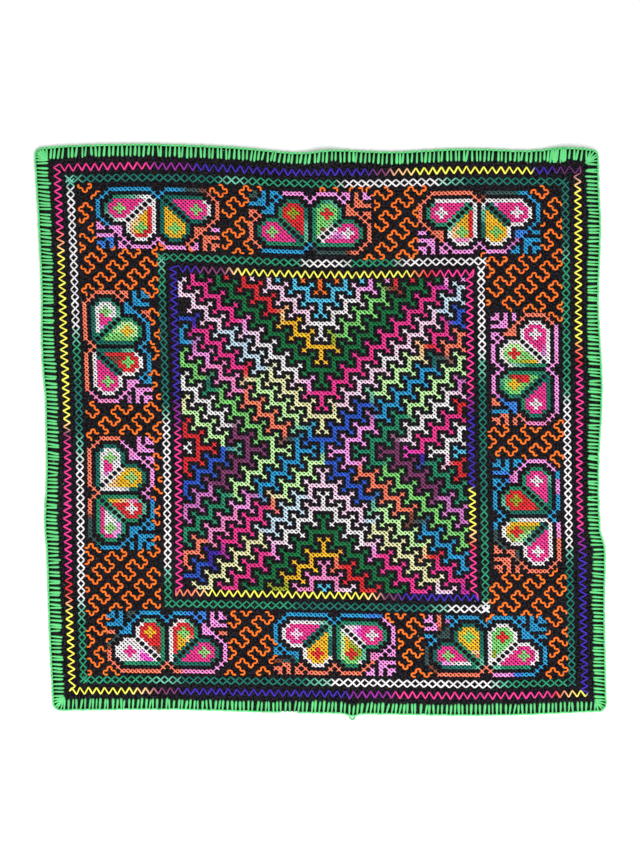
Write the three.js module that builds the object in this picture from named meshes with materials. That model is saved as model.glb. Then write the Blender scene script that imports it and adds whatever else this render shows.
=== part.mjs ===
import * as THREE from 'three';

// A square black cotton cloth, hand embroidered and edged in green yarn, as it lies flat and face up.
// Millimetres. X runs to the right of the cloth, Y to its top edge, Z up from the surface it lies on.
// The origin is under the middle of the cloth's outline.

const clothThickness = 1.5;
const pieceGap = 0.3;

const edging = {
  ridgeWidth: 2.2,
  ridgeHeight: 2.5,
  roundedBy: 0.6,
  legReach: 8.6,
  legThickness: 0.6,
};

const cornerRadius = 5.5;
const tightestCorner = 1.5;
const stationsPerSide = 48;
const stationsPerCorner = 5;

// Half the side of the even square that the maker aimed at. The worked cloth is pulled out of it.
const halfSide = { x: 195.2, y: 197 };

// How far the cloth is pulled to the right and upwards, at five columns across and five rows down:
// both edges, both sides of the inner frame, and the middle of the embroidery.
const pulledColumns = [-195.2, -110.3, 0, 113, 195.2];
const pulledRows = [
  { y: 197, right: [-7.0, -3.2, -2.5, -2.1, -2.1], up: [1.0, 3.4, -0.7, 1.2, 0.4] },
  { y: 119, right: [-2.8, -2.3, -1.8, -1.7, -1.3], up: [3.9, 3.3, -1.3, 0.1, -0.4] },
  { y: -13.7, right: [2.0, 1.3, 0.0, -0.2, -0.4], up: [3.5, 2.8, 0.0, -0.4, -0.7] },
  { y: -121.8, right: [3.2, 2.3, 1.4, 1.7, 1.8], up: [2.5, 1.9, 0.0, -2.0, -1.8] },
  { y: -197, right: [6.3, 3.2, 2.1, 2.8, 3.6], up: [1.8, 1.5, 0.0, -1.0, 1.5] },
];

// Uneven rims: at each place along a side, counted from its middle, how far the rim bulges outwards.
const rims = {
  top: {
    at: [-200, -180, -148, -96, -54, -12, 10, 54, 100, 146, 171, 200],
    out: [0.0, 1.4, 1.6, 0.9, 0.8, -0.9, 1.3, -0.7, 0.3, -0.9, 1.4, 0.0],
  },
  right: {
    at: [-200, -118, -80, -66, -23, 29, 92, 144, 170, 200],
    out: [0.0, 0.6, 1.7, -1.3, -1.4, 1.3, -0.8, 1.0, 0.2, 0.0],
  },
  bottom: {
    at: [-200, -158, -106, -40, 12, 19, 26, 83, 145, 200],
    out: [0.0, -0.5, -0.9, 0.0, 0.3, 2.2, 0.3, 0.6, 0.6, 0.0],
  },
  left: {
    at: [-200, -90, -66, -34, 0, 18, 40, 60, 100, 200],
    out: [0.0, 0.7, 2.3, 0.8, 0.5, 0.2, 1.4, 1.4, 0.2, 0.0],
  },
};
const rimFade = 24;

// Two stretches of the top edge don't lie quite flat.
const liftedStretches = [
  { x: 2, halfLength: 22, height: 1.5 },
  { x: 176, halfLength: 24, height: 1.5 },
];
const liftReach = 17;

const colours = {
  cloth: 0x17161a,
  edging: 0x5fd47d,
};

// A smooth curve through values at rising places.
function curveThrough(places, values, at) {
  const last = places.length - 1;
  const x = Math.min(Math.max(at, places[0]), places[last]);
  let i = 0;
  while (i < last - 1 && x > places[i + 1]) i += 1;
  const slope = (k) => {
    const a = Math.max(k - 1, 0);
    const b = Math.min(k + 1, last);
    return (values[b] - values[a]) / (places[b] - places[a]);
  };
  const span = places[i + 1] - places[i];
  const t = (x - places[i]) / span;
  const rise = t * t * (3 - 2 * t);
  return values[i] * (1 - rise) + values[i + 1] * rise
    + span * t * (1 - t) * (slope(i) * (1 - t) - slope(i + 1) * t);
}

function fadeInwards(distance) {
  const t = Math.min(Math.max(distance / rimFade, 0), 1);
  return 1 - t * t * (3 - 2 * t);
}

// Where a point of the even square lies on the worked cloth.
function pulled(x, y) {
  const heights = pulledRows.map((row) => row.y).reverse();
  const rights = pulledRows.map((row) => curveThrough(pulledColumns, row.right, x)).reverse();
  const ups = pulledRows.map((row) => curveThrough(pulledColumns, row.up, x)).reverse();
  const bulge = (rim, along) => curveThrough(rim.at, rim.out, along);
  return {
    x: x + curveThrough(heights, rights, y)
      + bulge(rims.right, y) * fadeInwards(halfSide.x - x)
      - bulge(rims.left, y) * fadeInwards(halfSide.x + x),
    y: y + curveThrough(heights, ups, y)
      + bulge(rims.top, x) * fadeInwards(halfSide.y - y)
      - bulge(rims.bottom, x) * fadeInwards(halfSide.y + y),
  };
}

// Stations round the even square, set in from its rim, anticlockwise from the bottom left corner.
// Every inset gives as many stations, so that lines at two insets can be joined.
function stationsAt(inset) {
  const radius = Math.max(cornerRadius - inset, tightestCorner);
  const half = { x: halfSide.x - inset - radius, y: halfSide.y - inset - radius };
  const corners = [
    { x: -half.x, y: -half.y, from: Math.PI },
    { x: half.x, y: -half.y, from: 1.5 * Math.PI },
    { x: half.x, y: half.y, from: 0 },
    { x: -half.x, y: half.y, from: 0.5 * Math.PI },
  ];
  const onArc = (corner, turn) => ({
    x: corner.x + radius * Math.cos(corner.from + turn),
    y: corner.y + radius * Math.sin(corner.from + turn),
  });
  const stations = [];
  corners.forEach((corner, c) => {
    for (let i = 0; i < stationsPerCorner; i += 1) {
      stations.push(onArc(corner, (i / (stationsPerCorner - 1)) * Math.PI / 2));
    }
    const start = onArc(corner, Math.PI / 2);
    const end = onArc(corners[(c + 1) % corners.length], 0);
    for (let i = 1; i < stationsPerSide; i += 1) {
      const t = i / stationsPerSide;
      stations.push({ x: start.x + (end.x - start.x) * t, y: start.y + (end.y - start.y) * t });
    }
  });
  return stations;
}

function middleOfOutline() {
  const rim = stationsAt(0).map((p) => pulled(p.x, p.y));
  const xs = rim.map((p) => p.x);
  const ys = rim.map((p) => p.y);
  return {
    x: (Math.min(...xs) + Math.max(...xs)) / 2,
    y: (Math.min(...ys) + Math.max(...ys)) / 2,
  };
}

// How far the cloth is off the surface at a point of the even square.
function liftAt(x, y) {
  const inwards = Math.max(1 - (halfSide.y - y) / liftReach, 0) ** 2;
  return liftedStretches.reduce((sum, stretch) => {
    const along = Math.min(Math.abs(x - stretch.x) / stretch.halfLength, 1);
    return sum + stretch.height * inwards * (0.5 + 0.5 * Math.cos(Math.PI * along));
  }, 0);
}

const middle = middleOfOutline();

// One closed line of the worked cloth, at an inset from the rim and a height over the surface.
function lineAt(inset, height) {
  return stationsAt(inset).map((p) => {
    const at = pulled(p.x, p.y);
    return [at.x - middle.x, at.y - middle.y, height + liftAt(p.x, p.y)];
  });
}

// Joins each closed line to the next one with a band of triangles.
function bands(lines, closes) {
  const count = lines[0].length;
  const joins = closes ? lines.length : lines.length - 1;
  const faces = [];
  for (let j = 0; j < joins; j += 1) {
    const a = j * count;
    const b = ((j + 1) % lines.length) * count;
    for (let i = 0; i < count; i += 1) {
      const next = (i + 1) % count;
      faces.push([a + i, a + next, b + next], [a + i, b + next, b + i]);
    }
  }
  return faces;
}

function solid(name, lines, faces, colour, roughness) {
  const geometry = new THREE.BufferGeometry();
  geometry.setAttribute('position', new THREE.Float32BufferAttribute(lines.flat(2), 3));
  geometry.setIndex(faces.flat());
  geometry.computeVertexNormals();
  const material = new THREE.MeshStandardMaterial({ color: colour, roughness, metalness: 0 });
  const mesh = new THREE.Mesh(geometry, material);
  mesh.name = name;
  return mesh;
}

// The black cotton: one thin sheet whose cut edge ends inside the edging.
function clothSheet() {
  const cutEdge = edging.ridgeWidth + pieceGap;
  const insets = [liftReach, edging.legReach, cutEdge];
  const underside = insets.map((inset) => lineAt(inset, 0));
  const face = [...insets].reverse().map((inset) => lineAt(inset, clothThickness));
  const lines = [...underside, ...face];
  const count = underside[0].length;
  const flat = stationsAt(liftReach).map((p) => new THREE.Vector2(p.x, p.y));
  const middleFaces = THREE.ShapeUtils.triangulateShape(flat, []);
  const firstOfFace = (lines.length - 1) * count;
  const closing = middleFaces.flatMap(([a, b, c]) => [
    [a, c, b],
    [firstOfFace + a, firstOfFace + b, firstOfFace + c],
  ]);
  return solid('cloth', lines, [...bands(lines, false), ...closing], colours.cloth, 0.9);
}

// The yarn edging: a ridge along the rim and the stitches' legs over the face, as one even band.
function yarnEdging() {
  const { ridgeWidth, ridgeHeight, roundedBy, legReach, legThickness } = edging;
  const overCloth = clothThickness + pieceGap;
  const section = [
    { inset: roundedBy, height: 0 },
    { inset: 0, height: roundedBy },
    { inset: 0, height: ridgeHeight - roundedBy },
    { inset: roundedBy, height: ridgeHeight },
    { inset: legReach, height: overCloth + legThickness },
    { inset: legReach, height: overCloth },
    { inset: ridgeWidth, height: overCloth },
    { inset: ridgeWidth, height: 0 },
  ];
  const lines = section.map((p) => lineAt(p.inset, p.height));
  return solid('edging', lines, bands(lines, true), colours.edging, 0.85);
}

const embroideredCloth = new THREE.Group();
embroideredCloth.add(clothSheet(), yarnEdging());

export default embroideredCloth;
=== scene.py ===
import math

import bpy
import numpy as np
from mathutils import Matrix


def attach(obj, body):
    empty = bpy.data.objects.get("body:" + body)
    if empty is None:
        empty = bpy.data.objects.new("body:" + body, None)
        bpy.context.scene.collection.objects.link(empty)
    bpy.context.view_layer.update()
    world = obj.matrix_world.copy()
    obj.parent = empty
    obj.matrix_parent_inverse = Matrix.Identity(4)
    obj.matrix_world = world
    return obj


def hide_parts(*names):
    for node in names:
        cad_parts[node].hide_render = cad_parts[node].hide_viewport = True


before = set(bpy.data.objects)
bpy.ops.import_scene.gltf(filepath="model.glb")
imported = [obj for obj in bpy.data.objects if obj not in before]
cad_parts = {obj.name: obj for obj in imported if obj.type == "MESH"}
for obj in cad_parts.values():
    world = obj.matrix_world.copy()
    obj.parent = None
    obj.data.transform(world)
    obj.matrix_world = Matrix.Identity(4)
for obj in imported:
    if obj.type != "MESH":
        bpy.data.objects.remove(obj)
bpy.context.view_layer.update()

# The ground is one square of black cotton in plain weave, cut along its threads.
# The embroidery has pulled it out of true, and two stretches of its top edge don't lie flat.
# Places are in millimetres on the even square that the maker aimed at, until `worked` lays them out.
half_side = {"x": 195.2, "y": 197.0}
corner_radius = 5.5
pulled_columns = [-195.2, -110.3, 0.0, 113.0, 195.2]
pulled_rows = [
    {"y": -197.0, "right": [6.3, 3.2, 2.1, 2.8, 3.6], "up": [1.8, 1.5, 0.0, -1.0, 1.5]},
    {"y": -121.8, "right": [3.2, 2.3, 1.4, 1.7, 1.8], "up": [2.5, 1.9, 0.0, -2.0, -1.8]},
    {"y": -13.7, "right": [2.0, 1.3, 0.0, -0.2, -0.4], "up": [3.5, 2.8, 0.0, -0.4, -0.7]},
    {"y": 119.0, "right": [-2.8, -2.3, -1.8, -1.7, -1.3], "up": [3.9, 3.3, -1.3, 0.1, -0.4]},
    {"y": 197.0, "right": [-7.0, -3.2, -2.5, -2.1, -2.1], "up": [1.0, 3.4, -0.7, 1.2, 0.4]},
]
rims = {
    "top": {
        "at": [-200, -180, -148, -96, -54, -12, 10, 54, 100, 146, 171, 200],
        "out": [0.0, 1.4, 1.6, 0.9, 0.8, -0.9, 1.3, -0.7, 0.3, -0.9, 1.4, 0.0],
    },
    "right": {
        "at": [-200, -118, -80, -66, -23, 29, 92, 144, 170, 200],
        "out": [0.0, 0.6, 1.7, -1.3, -1.4, 1.3, -0.8, 1.0, 0.2, 0.0],
    },
    "bottom": {
        "at": [-200, -158, -106, -40, 12, 19, 26, 83, 145, 200],
        "out": [0.0, -0.5, -0.9, 0.0, 0.3, 2.2, 0.3, 0.6, 0.6, 0.0],
    },
    "left": {
        "at": [-200, -90, -66, -34, 0, 18, 40, 60, 100, 200],
        "out": [0.0, 0.7, 2.3, 0.8, 0.5, 0.2, 1.4, 1.4, 0.2, 0.0],
    },
}
rim_fade = 24.0
lifted_stretches = [
    {"x": 2.0, "half_length": 22.0, "height": 1.5},
    {"x": 176.0, "half_length": 24.0, "height": 1.5},
]
lift_reach = 17.0
puckers = [
    {"height": 0.07, "across": 17.0, "down": 29.0, "turn": 0.4},
    {"height": 0.05, "across": -31.0, "down": 13.0, "turn": 2.1},
    {"height": 0.03, "across": 8.5, "down": -7.0, "turn": 4.0},
]
ground = {"underside": 0.65, "thickness": 0.6, "cut_inset": 1.4, "cut_radius": 4.2, "squares": 110}
ground_face = ground["underside"] + ground["thickness"]
mm = 0.001
across_rim = 2 * (half_side["x"] - corner_radius)
down_rim = 2 * (half_side["y"] - corner_radius)
corner_turn = 0.5 * math.pi * corner_radius
around_rim = 2 * (across_rim + down_rim) + 4 * corner_turn
rim_stations = 2000


def curve_through(places, values, at):
    """A smooth curve through values at rising places. values has a row or a number for each place."""
    places = np.asarray(places, dtype=float)
    values = np.asarray(values, dtype=float)
    if values.ndim == 1:
        values = np.repeat(values[:, None], at.size, axis=1)
    x = np.clip(at, places[0], places[-1])
    i = np.clip(np.searchsorted(places, x) - 1, 0, len(places) - 2)
    here = np.arange(at.size)

    def slope(k):
        before = np.maximum(k - 1, 0)
        after = np.minimum(k + 1, len(places) - 1)
        return (values[after, here] - values[before, here]) / (places[after] - places[before])

    span = places[i + 1] - places[i]
    t = (x - places[i]) / span
    rise = t * t * (3 - 2 * t)
    bend = span * t * (1 - t) * (slope(i) * (1 - t) - slope(i + 1) * t)
    return values[i, here] * (1 - rise) + values[i + 1, here] * rise + bend


def fade_inwards(distance):
    t = np.clip(distance / rim_fade, 0, 1)
    return 1 - t * t * (3 - 2 * t)


def pulled(x, y):
    """Where points of the even square lie once the cloth is worked and pulled."""
    heights = [row["y"] for row in pulled_rows]
    rights = [curve_through(pulled_columns, row["right"], x) for row in pulled_rows]
    ups = [curve_through(pulled_columns, row["up"], x) for row in pulled_rows]
    bulge = {side: curve_through(rim["at"], rim["out"], x if side in ("top", "bottom") else y)
             for side, rim in rims.items()}
    from_side = {"right": half_side["x"] - x, "left": half_side["x"] + x,
                 "top": half_side["y"] - y, "bottom": half_side["y"] + y}
    out = {side: bulge[side] * fade_inwards(from_side[side]) for side in rims}
    return (x + curve_through(heights, rights, y) + out["right"] - out["left"],
            y + curve_through(heights, ups, y) + out["top"] - out["bottom"])


def rim_places(lengths):
    """Points of the rounded rim and their outward directions, at lengths round it from the left end
    of its bottom edge, anticlockwise."""
    at = np.asarray(lengths, dtype=float) % around_rim
    x, y, out_x, out_y = (np.zeros(at.size) for _ in range(4))
    start = 0.0
    for side, length in enumerate((across_rim, down_rim, across_rim, down_rim)):
        ahead = np.array([math.cos(side * math.pi / 2), math.sin(side * math.pi / 2)])
        outward = np.array([ahead[1], -ahead[0]])
        reach = half_side["y" if side % 2 == 0 else "x"]
        run = (at >= start) & (at < start + length)
        along = at[run] - start - length / 2
        x[run] = outward[0] * reach + ahead[0] * along
        y[run] = outward[1] * reach + ahead[1] * along
        out_x[run], out_y[run] = outward
        start += length
        bend = (at >= start) & (at < start + corner_turn)
        angle = (at[bend] - start) / corner_radius + (side - 1) * math.pi / 2
        centre = outward * (reach - corner_radius) + ahead * length / 2
        out_x[bend], out_y[bend] = np.cos(angle), np.sin(angle)
        x[bend] = centre[0] + corner_radius * out_x[bend]
        y[bend] = centre[1] + corner_radius * out_y[bend]
        start += corner_turn
    return x, y, out_x, out_y


rim_x, rim_y = pulled(*rim_places(np.arange(rim_stations) * around_rim / rim_stations)[:2])
middle = ((rim_x.min() + rim_x.max()) / 2, (rim_y.min() + rim_y.max()) / 2)


def worked(x, y, z):
    """Points of the even square, z over the surface that it lies on, on the finished cloth, in metres."""
    x, y, z = (part.astype(float) for part in np.broadcast_arrays(x, y, z))
    shape = x.shape
    x, y, z = x.ravel(), y.ravel(), z.ravel()
    inwards = np.maximum(1 - (half_side["y"] - y) / lift_reach, 0) ** 2
    for stretch in lifted_stretches:
        along = np.minimum(np.abs(x - stretch["x"]) / stretch["half_length"], 1)
        z = z + stretch["height"] * inwards * (0.5 + 0.5 * np.cos(math.pi * along))
    from_rim = np.minimum(half_side["x"] - np.abs(x), half_side["y"] - np.abs(y))
    for pucker in puckers:
        wave = np.sin(x / pucker["across"] + y / pucker["down"] + pucker["turn"])
        z = z + pucker["height"] * wave * (1 - fade_inwards(from_rim))
    right, up = pulled(x, y)
    return np.stack([right - middle[0], up - middle[1], z], axis=-1).reshape(*shape, 3) * mm


def quad_piece(name, points, faces):
    """A new object of one mesh, from arrays of its points and its four-sided faces."""
    mesh = bpy.data.meshes.new(name)
    mesh.from_pydata(points.tolist(), [], faces.tolist(), shade_flat=False)
    piece = bpy.data.objects.new(name, mesh)
    bpy.context.scene.collection.objects.link(piece)
    return piece


def map_from_above(piece, lean=(0.35, 0.2)):
    """Lays the piece's surface out flat as seen from above, leaning so that upright faces keep a width."""
    mesh = piece.data
    points = np.empty(len(mesh.vertices) * 3)
    mesh.vertices.foreach_get("co", points)
    points = points.reshape(-1, 3)
    flat = points[:, :2] + points[:, 2:] * np.array(lean)
    low = flat.min(axis=0)
    size = (flat.max(axis=0) - low).max() * 1.002
    corners = np.empty(len(mesh.loops), dtype=np.int32)
    mesh.loops.foreach_get("vertex_index", corners)
    layout = mesh.uv_layers.new(name="OFBake")
    layout.data.foreach_set("uv", ((flat[corners] - low) / size).ravel())


class Shade:
    """One socket of a material. Python's operators on it add Math nodes."""

    def __init__(self, tree, socket=None):
        self.tree = tree
        self.socket = socket

    def node(self, kind, settings, inputs, output=0):
        """Adds a node, with its settings first and then the values or links of its sockets."""
        made = self.tree.nodes.new(kind)
        for key, value in settings.items():
            setattr(made, key, value)
        for key, value in inputs.items():
            if isinstance(value, Shade):
                self.tree.links.new(value.socket, made.inputs[key])
            else:
                made.inputs[key].default_value = value
        return Shade(self.tree, made.outputs[output] if made.outputs else None)

    def maths(self, operation, *values):
        return self.node("ShaderNodeMath", {"operation": operation}, dict(enumerate(values)))

    def __add__(self, other):
        return self.maths("ADD", self, other)

    def __radd__(self, other):
        return self.maths("ADD", other, self)

    def __sub__(self, other):
        return self.maths("SUBTRACT", self, other)

    def __rsub__(self, other):
        return self.maths("SUBTRACT", other, self)

    def __mul__(self, other):
        return self.maths("MULTIPLY", self, other)

    def __rmul__(self, other):
        return self.maths("MULTIPLY", other, self)


def new_material(name):
    """An empty material and a way to add nodes to it."""
    material = bpy.data.materials.new(name)
    material.use_nodes = True
    material.node_tree.nodes.clear()
    return material, Shade(material.node_tree)


def mixed(shade, factor, first, second):
    """A colour between two, by a factor that changes over the surface."""
    settings = {"data_type": "RGBA", "clamp_factor": True}
    return shade.node("ShaderNodeMix", settings, {0: factor, 6: first, 7: second}, 2)


def surfaced(shade, colour, roughness, height, relief, lustre):
    """Ends a material in a bumped surface. Roughness and lustre are the same all over."""
    bump = shade.node("ShaderNodeBump", {}, {"Height": height, "Distance": relief, "Strength": 1.0})
    surface = shade.node("ShaderNodeBsdfPrincipled", {}, {
        "Base Color": colour, "Roughness": roughness, "Normal": bump, "Specular IOR Level": lustre})
    shade.node("ShaderNodeOutputMaterial", {}, {"Surface": surface})


def black_cotton():
    """Plain weave in black: threads over and under each other, an uneven dye and some pale lint."""
    thread_pitch = 0.42 * mm
    share = {"weave": 0.15, "slubs": 4.6, "dye": 0.5, "level": -2.22}
    material, shade = new_material("black_cotton")
    place = shade.node("ShaderNodeTexCoord", {}, {}, "Object")
    across = shade.node("ShaderNodeSeparateXYZ", {}, {0: place}, 0)
    down = shade.node("ShaderNodeSeparateXYZ", {}, {0: place}, 1)
    turns = 2 * math.pi / thread_pitch
    warp = shade.maths("SINE", across * turns, 0.0)
    weft = shade.maths("SINE", down * turns, 0.0)
    weave = warp * weft
    slubs = shade.node("ShaderNodeTexNoise", {"noise_dimensions": "3D"}, {"Vector": place, "Scale": 780.0})
    dye = shade.node("ShaderNodeTexNoise", {"noise_dimensions": "3D"}, {"Vector": place, "Scale": 26.0})
    lint = shade.node("ShaderNodeTexNoise", {}, {"Vector": place, "Scale": 420.0, "Detail": 1.0})
    specks = shade.node("ShaderNodeMapRange", {}, {
        "Value": lint, "From Min": 0.80, "From Max": 0.86, "To Min": 0.0, "To Max": 1.0})
    black = (0.0018, 0.0016, 0.0023, 1)
    worn = (0.027, 0.024, 0.029, 1)
    pale = (0.35, 0.35, 0.34, 1)
    light = weave * share["weave"] + slubs * share["slubs"] + dye * share["dye"] + share["level"]
    colour = mixed(shade, specks, mixed(shade, light, black, worn), pale)
    surfaced(shade, colour, roughness=0.9, height=weave + slubs * 0.8, relief=0.05 * mm, lustre=0.05)
    return material


def dress(piece, material):
    """Gives a piece its material and fixes it to the cloth's body."""
    piece.data.materials.append(material)
    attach(piece, "root")


def ground_piece():
    """The cloth's face and underside, joined along its cut edge, which lies hidden in the edging."""
    steps = np.linspace(-1, 1, ground["squares"] + 1)
    x, y = np.meshgrid(steps, steps)
    half_x = half_side["x"] - ground["cut_inset"]
    half_y = half_side["y"] - ground["cut_inset"]
    x = x * half_x
    y = y * half_y
    radius = ground["cut_radius"]
    over_x = np.clip((np.abs(x) - half_x + radius) / radius, 0, 1)
    over_y = np.clip((np.abs(y) - half_y + radius) / radius, 0, 1)
    x = x - np.sign(x) * radius * over_x * (1 - np.sqrt(1 - over_y ** 2 / 2))
    y = y - np.sign(y) * radius * over_y * (1 - np.sqrt(1 - over_x ** 2 / 2))
    face = worked(x, y, np.full_like(x, ground_face)).reshape(-1, 3)
    underside = worked(x, y, np.full_like(x, ground["underside"])).reshape(-1, 3)
    size = ground["squares"] + 1
    index = np.arange(size * size).reshape(size, size)
    squares = np.stack([index[:-1, :-1], index[:-1, 1:], index[1:, 1:], index[1:, :-1]], axis=-1)
    squares = squares.reshape(-1, 4)
    rim = np.concatenate([index[0, :-1], index[:-1, -1], index[-1, :0:-1], index[:0:-1, 0]])
    after = np.roll(rim, -1)
    below = len(face)
    edge = np.stack([rim, rim + below, after + below, after], axis=-1)
    faces = np.concatenate([squares, squares[:, ::-1] + below, edge])
    return quad_piece("ground_cloth", np.concatenate([face, underside]), faces)


cloth = ground_piece()
map_from_above(cloth)
dress(cloth, black_cotton())
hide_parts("cloth")

# The ten leaf motifs are worked first, in cross stitch over counted threads, with space-dyed cotton.
# Each has two wings that mirror each other about its axis: a frame, two leaves and a set of hooks.
# A letter of the chart is one part of a wing, and each wing gives its parts their runs of colour.
cell = {"x": 2.94, "y": 2.70}
wing_chart = [
    "..ffffffffff...",
    ".f..........f..",
    "f.ttttttttt..f.",
    ".x.dAAAAAAAe..f",
    ".xd.dAAAAaAAe.f",
    ".xBd.dAAaaaAe.f",
    ".xBBd.dAAaAAe.f",
    ".xBBBd.dAAAe..f",
    ".xBBBBd.eee..f.",
    ".xBBbBBo....f.c",
    ".xBbbbBo.hhh.rr",
    ".xBBbBBo.hh....",
    "..oBBBo..h.kkkk",
    "g..ooo..g..kk..",
    ".g.....g.j.k.kk",
    "..ggggg.jj.k.k.",
]
dyes = {
    "P": (234, 58, 146),  # hot pink
    "K": (255, 157, 224),  # light pink
    "k": (245, 141, 197),  # rose
    "M": (190, 50, 160),  # magenta
    "m": (236, 72, 190),  # fuchsia
    "v": (206, 121, 192),  # orchid
    "p": (148, 34, 152),  # purple
    "V": (60, 36, 168),  # blue violet
    "D": (130, 58, 106),  # dark purple
    "d": (88, 36, 96),  # deep purple
    "U": (42, 90, 196),  # royal blue
    "u": (59, 135, 219),  # mid blue
    "B": (40, 155, 204),  # sky blue
    "b": (195, 217, 231),  # pale blue
    "Q": (87, 193, 224),  # light blue
    "A": (103, 185, 159),  # aqua
    "T": (17, 110, 97),  # teal
    "E": (34, 142, 105),  # emerald
    "F": (11, 117, 62),  # dark green
    "G": (128, 205, 115),  # bright green
    "L": (192, 235, 166),  # light green
    "l": (148, 204, 126),  # leaf green
    "O": (154, 167, 40),  # olive
    "Y": (245, 235, 90),  # yellow
    "g": (236, 184, 40),  # gold
    "y": (223, 222, 173),  # cream
    "c": (245, 195, 140),  # peach
    "N": (253, 119, 34),  # orange
    "C": (255, 129, 99),  # coral
    "R": (218, 44, 50),  # red
    "n": (130, 70, 50),  # brown
    "S": (58, 85, 83),  # faded grey green
    "W": (230, 226, 227),  # white
    "w": (243, 205, 225),  # pinkish white
}
motifs = [
    {"name": "top_left", "x": -112.5, "y": 146.3, "bar": "up",
     "first": "f=B t=WAE x=W e=TAW o=W d=W A=P a=l B=R/ggggRR/ggR/ccgR/ccc b=G h=K g=K"
               " k=Kuuu/Ku/Kuu/Ku j=K r=K c=K",
     "second": "f=BBBSSnCCCC t=T x=T e=WWTT o=T d=T A=P a=l B=g b=G h=C g=KKKKKKKCC k=C j=K r=K"},
    {"name": "top_middle", "x": -6.7, "y": 147.1, "bar": "down",
     "first": "f=BBBBBBBBBBBBCCCCCCCCC t=E x=AAATT e=TE o=ET d=TE A=P a=l B=R b=O h=B g=KKKKKKKBB"
               " k=B/B/BSS/BS j=B r=C c=C",
     "second": "f=BSSSSSSSSnCCCCCCCCCCC t=E x=E e=E o=EAE d=WWWE A=P/KvvKPP/KKP/PPPP/P a=W B=G/nGGGGG/G"
               " b=R h=C g=K k=C/C/CKK/CK j=K r=C c=C"},
    {"name": "top_right", "x": 111.3, "y": 146.4, "bar": "up",
     "first": "f=C t=W x=W e=E o=AWWWWWWW d=EEA A=P a=W B=R/gggggk/ggk/gcck/c b=G h=C g=K k=K j=K r=K",
     "second": "f=nnSSSSSSSTBBBBBBBBBBB t=W x=WAATTT e=W o=W d=T A=KPPPPPP/P a=W B=g b=G h=uuuuuv"
               " g=KKKKKKKvv k=B j=B r=B"},
    {"name": "left_upper", "x": -143.3, "y": 56.2, "bar": "left",
     "first": "f=C t=T x=T e=TTEA o=E d=E A=W/KPPPWW/PPW/PWWW/W a=l B=G/GGGLL/L b=g h=B g=B k=B j=C r=C c=C",
     "second": "f=CCCCCCCCCCCCkkkkkkKKK t=W x=TTTTTAA e=W o=W d=T A=P a=l B=R/nnnRRR/nRR/R b=G h=K g=B"
               " k=K j=B r=v"},
    {"name": "left_lower", "x": -143.1, "y": -45.5, "bar": "left",
     "first": "f=CCCCCCCCCCCCCCCCCCCKK t=T x=WWWWWWTT e=T o=T d=W A=W/vPPPWW/PPW/W a=l"
               " B=ccggggg/cggggg/g b=l h=K g=K k=K j=K",
     "second": "f=CCCCCCnSSSSSSTBBBBBBB t=E x=E e=E o=EEAA d=EA A=P/WWWWWP/WWP/WWKK/KKK a=l"
               " B=ggcckk/RRRRRR/R b=W h=B g=KvuBBBBBB k=B j=B r=B"},
    {"name": "right_upper", "x": 142.4, "y": 44.3, "bar": "right",
     "first": "f=KKKKKKKKKKKKCCCCCCCCC t=W x=EEEEAAW e=W o=W d=W A=vPP/P a=W B=ggOOGG/GL/G/L/L b=R h=C"
               " g=K k=K j=K r=K",
     "second": "f=KKKKKkkkC t=T x=E e=TE o=TEEA d=T A=P a=W B=GGRRRRn/GRRnGG/G b=g h=u g=KKKKKKKvu"
               " k=B/C/C/C j=C r=C"},
    {"name": "right_lower", "x": 142.3, "y": -57.6, "bar": "right",
     "first": "f=BBBBBBvKKvBBKKKKKKKKK t=TTTA x=T e=E o=EEEAA d=E A=P a=W B=nRRRRRR/R b=O h=KKKvvu g=B"
               " k=u/B/B/B j=B r=B c=B",
     "second": "f=BBKKkkCCCCCCCCCCCCCCC t=W x=WWWWA e=W o=W d=TTA A=P a=W B=g/OOOg/LGOg/LGO/LLO b=R"
               " h=SSCC g=BBBBSSSSS k=C j=C r=C"},
    {"name": "bottom_left", "x": -111.6, "y": -148.6, "bar": "down",
     "first": "f=CCCCCCCCCCCCCCCCCnSSS t=E x=E e=W o=WWWWAAAE d=W A=mmKwWWW/mmwWWW/KwW/W a=P"
               " B=nnRRRRR/nRRRRR/R b=g h=B g=B k=B j=S r=C",
     "second": "f=CCCCkkkkkkkkKKKKKKKKK t=T x=W e=T o=EEEAAWWW d=T A=P a=l B=R/ggggRR/ggR/ccRR/CRR b=G"
               " h=K g=BBBBBuuuu k=K/K/K/Kv j=u r=C"},
    {"name": "bottom_middle", "x": 6.5, "y": -148.2, "bar": "up",
     "first": "f=B t=AWWWW x=AAATTTTTW e=W o=W d=T A=P a=w B=g b=R h=BBBBST g=C k=SCCC/SC/nCC/nC j=C"
               " r=B c=B",
     "second": "f=BBBBBBBBuuuuKKKKKKKKK t=E x=E e=E o=AAAWEEEE d=W A=wwKPPPP/KmPPPP/mPP/P a=W"
               " B=L/ggggGG/OOG/OOOG/OOG b=R h=kkKkkC g=C k=K j=K r=K c=K"},
    {"name": "bottom_right", "x": 112.0, "y": -148.2, "bar": "down",
     "first": "f=CCCCCCCCCCCCnnSSSSSBB t=AETTTTTTT x=AAETTTTTT e=T o=T d=E A=WWWWwKK/P a=l"
               " B=Ccggggg/cggggg/g b=G h=S g=B k=nCCC/K/K/K j=vBB r=B",
     "second": "f=CCKKKKvuuBBBBBBBBBBBB t=AAEEEEEEE x=W e=W o=W d=W A=P a=l B=OOGGGGG/G b=R h=B g=B k=B"
               " j=B r=B"},
]
chart_rows = len(wing_chart)
chart_columns = len(wing_chart[0])
thread = {"width": 0.99, "thickness": 0.55, "wander": 0.18}
uneven_thread = {"fullness": 0.1, "tone": 1.12, "tone_by": 0.09}
# The light factors paint shade and highlight into one thread: the under arms are painted 10% darker, as
# shade beneath the over arms, and the over arms 10% lighter, as a highlight.
under_arm = {
    "along": [0, 0.2, 0.8, 1],
    "rise": [0.3, 1.0, 1.0, 0.3],
    "spread": [0.7, 1.0, 1.0, 0.7],
    "light": 0.9,
}
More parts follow.
